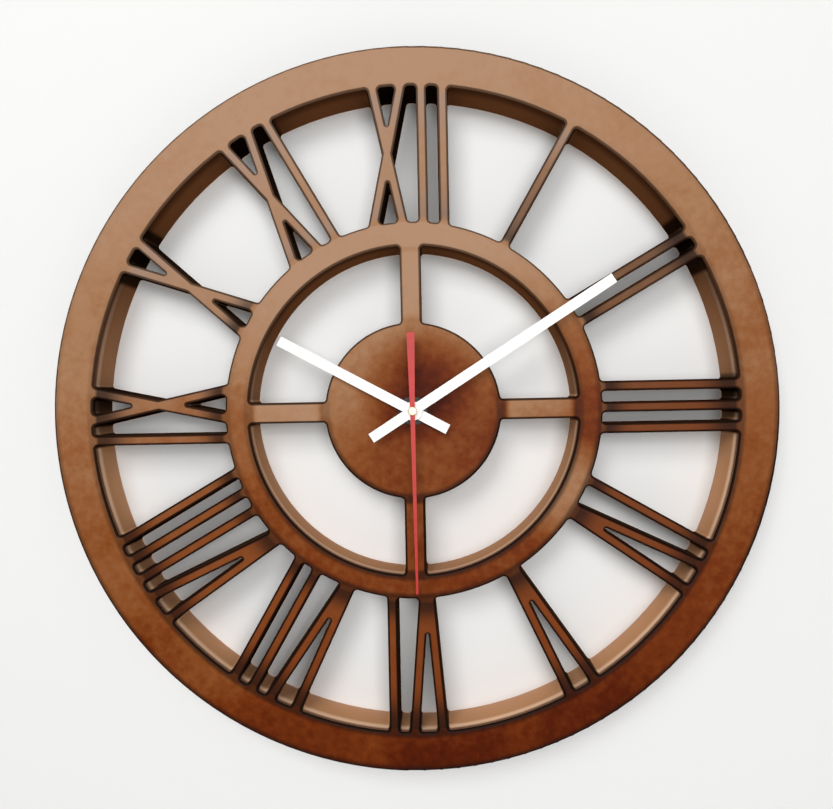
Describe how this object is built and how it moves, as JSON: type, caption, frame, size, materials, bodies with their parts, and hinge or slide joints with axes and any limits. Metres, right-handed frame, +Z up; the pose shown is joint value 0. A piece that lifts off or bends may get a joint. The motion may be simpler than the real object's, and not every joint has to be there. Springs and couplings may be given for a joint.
{
  "type": "wall clock",
  "caption": "Round open-work wooden wall clock with Roman numerals cut in one board, a quartz movement behind the hub, two white hands and a red second hand.",
  "frame": {"origin": "the seat of the wall's nail under the middle tooth of the hanger strip, on the wall plane", "axes": "+X to the right as the dial is read, +Y into the wall, +Z up; the dial faces -Y and the hands turn clockwise seen from the front, which is positive about +Y"},
  "size_m": [0.406, 0.0349, 0.406],
  "materials": {
    "stained_wood": "brown stain with darkened edges, satin",
    "zinc_steel": "zinc plated",
    "black_plastic": "fine moulded texture",
    "white_plastic": "moulded",
    "cell_jacket": "plain printed jacket with no words",
    "plated_steel": "nickel plated spring steel",
    "soft_iron": "stamped",
    "copper_winding": "enamelled copper wire",
    "circuit_laminate": "laminate",
    "crystal_can": "drawn",
    "magnet": "ferrite",
    "brass": "turned",
    "white_lacquer": "satin",
    "red_lacquer": "satin",
    "brass_cap": "pale, satin",
    "rubber": "moulded",
    "black_steel": "black"
  },
  "bodies": {
    "clock": {"outer_rim": "stained_wood", "middle_ring": "stained_wood", "hub": "stained_wood", "spoke_12": "stained_wood", "spoke_3": "stained_wood", "spoke_6": "stained_wood", "spoke_9": "stained_wood", "numeral_i": "stained_wood", "numeral_ii": "stained_wood", "numeral_iii": "stained_wood", "numeral_iv": "stained_wood", "numeral_v": "stained_wood", "numeral_vi": "stained_wood", "numeral_vii": "stained_wood", "numeral_viii": "stained_wood", "numeral_ix": "stained_wood", "numeral_x": "stained_wood", "numeral_xi": "stained_wood", "numeral_xii": "stained_wood", "hanger_strip": "zinc_steel", "hanger_nails": "zinc_steel", "movement_case": "black_plastic", "movement_cover": "black_plastic", "train_bridge": "white_plastic", "battery_cell": "cell_jacket", "contact_positive": "plated_steel", "contact_negative": "plated_steel", "motor_stator": "soft_iron", "motor_coil": "copper_winding", "circuit_board": "circuit_laminate", "quartz_crystal": "crystal_can", "rubber_washer": "rubber", "front_washer": "black_steel", "hex_nut": "black_steel"},
    "seconds": {"seconds_wheel": "white_plastic", "second_hand": "red_lacquer", "second_hand_cap": "brass_cap"},
    "intermediate": {"intermediate_wheel": "white_plastic"},
    "rotor": {"rotor": "magnet"},
    "third": {"third_wheel": "white_plastic"},
    "minute": {"centre_wheel": "brass", "minute_arbor": "brass", "minute_hand": "white_lacquer"},
    "motion": {"motion_wheel": "white_plastic"},
    "hour": {"hour_wheel": "white_plastic", "hour_hand": "white_lacquer"},
    "setting": {"setting_knob": "black_plastic"}
  },
  "joints": [
    {"name": "seconds_turn", "type": "hinge", "parent": "clock", "child": "seconds", "pos_m": [0, -0.032, -0.19191], "axis": [0, 1, 0], "continuous": true},
    {"name": "intermediate_turn", "type": "hinge", "parent": "clock", "child": "intermediate", "pos_m": [0.00779, -0.007, -0.18741], "axis": [0, 1, 0], "continuous": true},
    {"name": "rotor_turn", "type": "hinge", "parent": "clock", "child": "rotor", "pos_m": [0.01199, -0.005, -0.18014], "axis": [0, 1, 0], "continuous": true},
    {"name": "third_turn", "type": "hinge", "parent": "clock", "child": "third", "pos_m": [-0.01001, -0.01, -0.18613], "axis": [0, 1, 0], "continuous": true},
    {"name": "minute_turn", "type": "hinge", "parent": "clock", "child": "minute", "pos_m": [0, -0.03, -0.19191], "axis": [0, 1, 0], "continuous": true},
    {"name": "motion_turn", "type": "hinge", "parent": "clock", "child": "motion", "pos_m": [0, -0.0145, -0.18231], "axis": [0, 1, 0], "continuous": true},
    {"name": "hour_turn", "type": "hinge", "parent": "clock", "child": "hour", "pos_m": [0, -0.028, -0.19191], "axis": [0, 1, 0], "continuous": true},
    {"name": "setting_turn", "type": "hinge", "parent": "clock", "child": "setting", "pos_m": [0, -0.008, -0.17271], "axis": [0, 1, 0], "continuous": true}
  ],
  "couplings": [
    {"joint": "intermediate_turn", "follows": "seconds_turn", "ratio": -5},
    {"joint": "rotor_turn", "follows": "seconds_turn", "ratio": 30},
    {"joint": "third_turn", "follows": "seconds_turn", "ratio": -0.125},
    {"joint": "minute_turn", "follows": "seconds_turn", "ratio": 0.016667},
    {"joint": "motion_turn", "follows": "seconds_turn", "ratio": -0.0055556},
    {"joint": "hour_turn", "follows": "seconds_turn", "ratio": 0.0013889},
    {"joint": "setting_turn", "follows": "seconds_turn", "ratio": 0.016667}
  ]
}
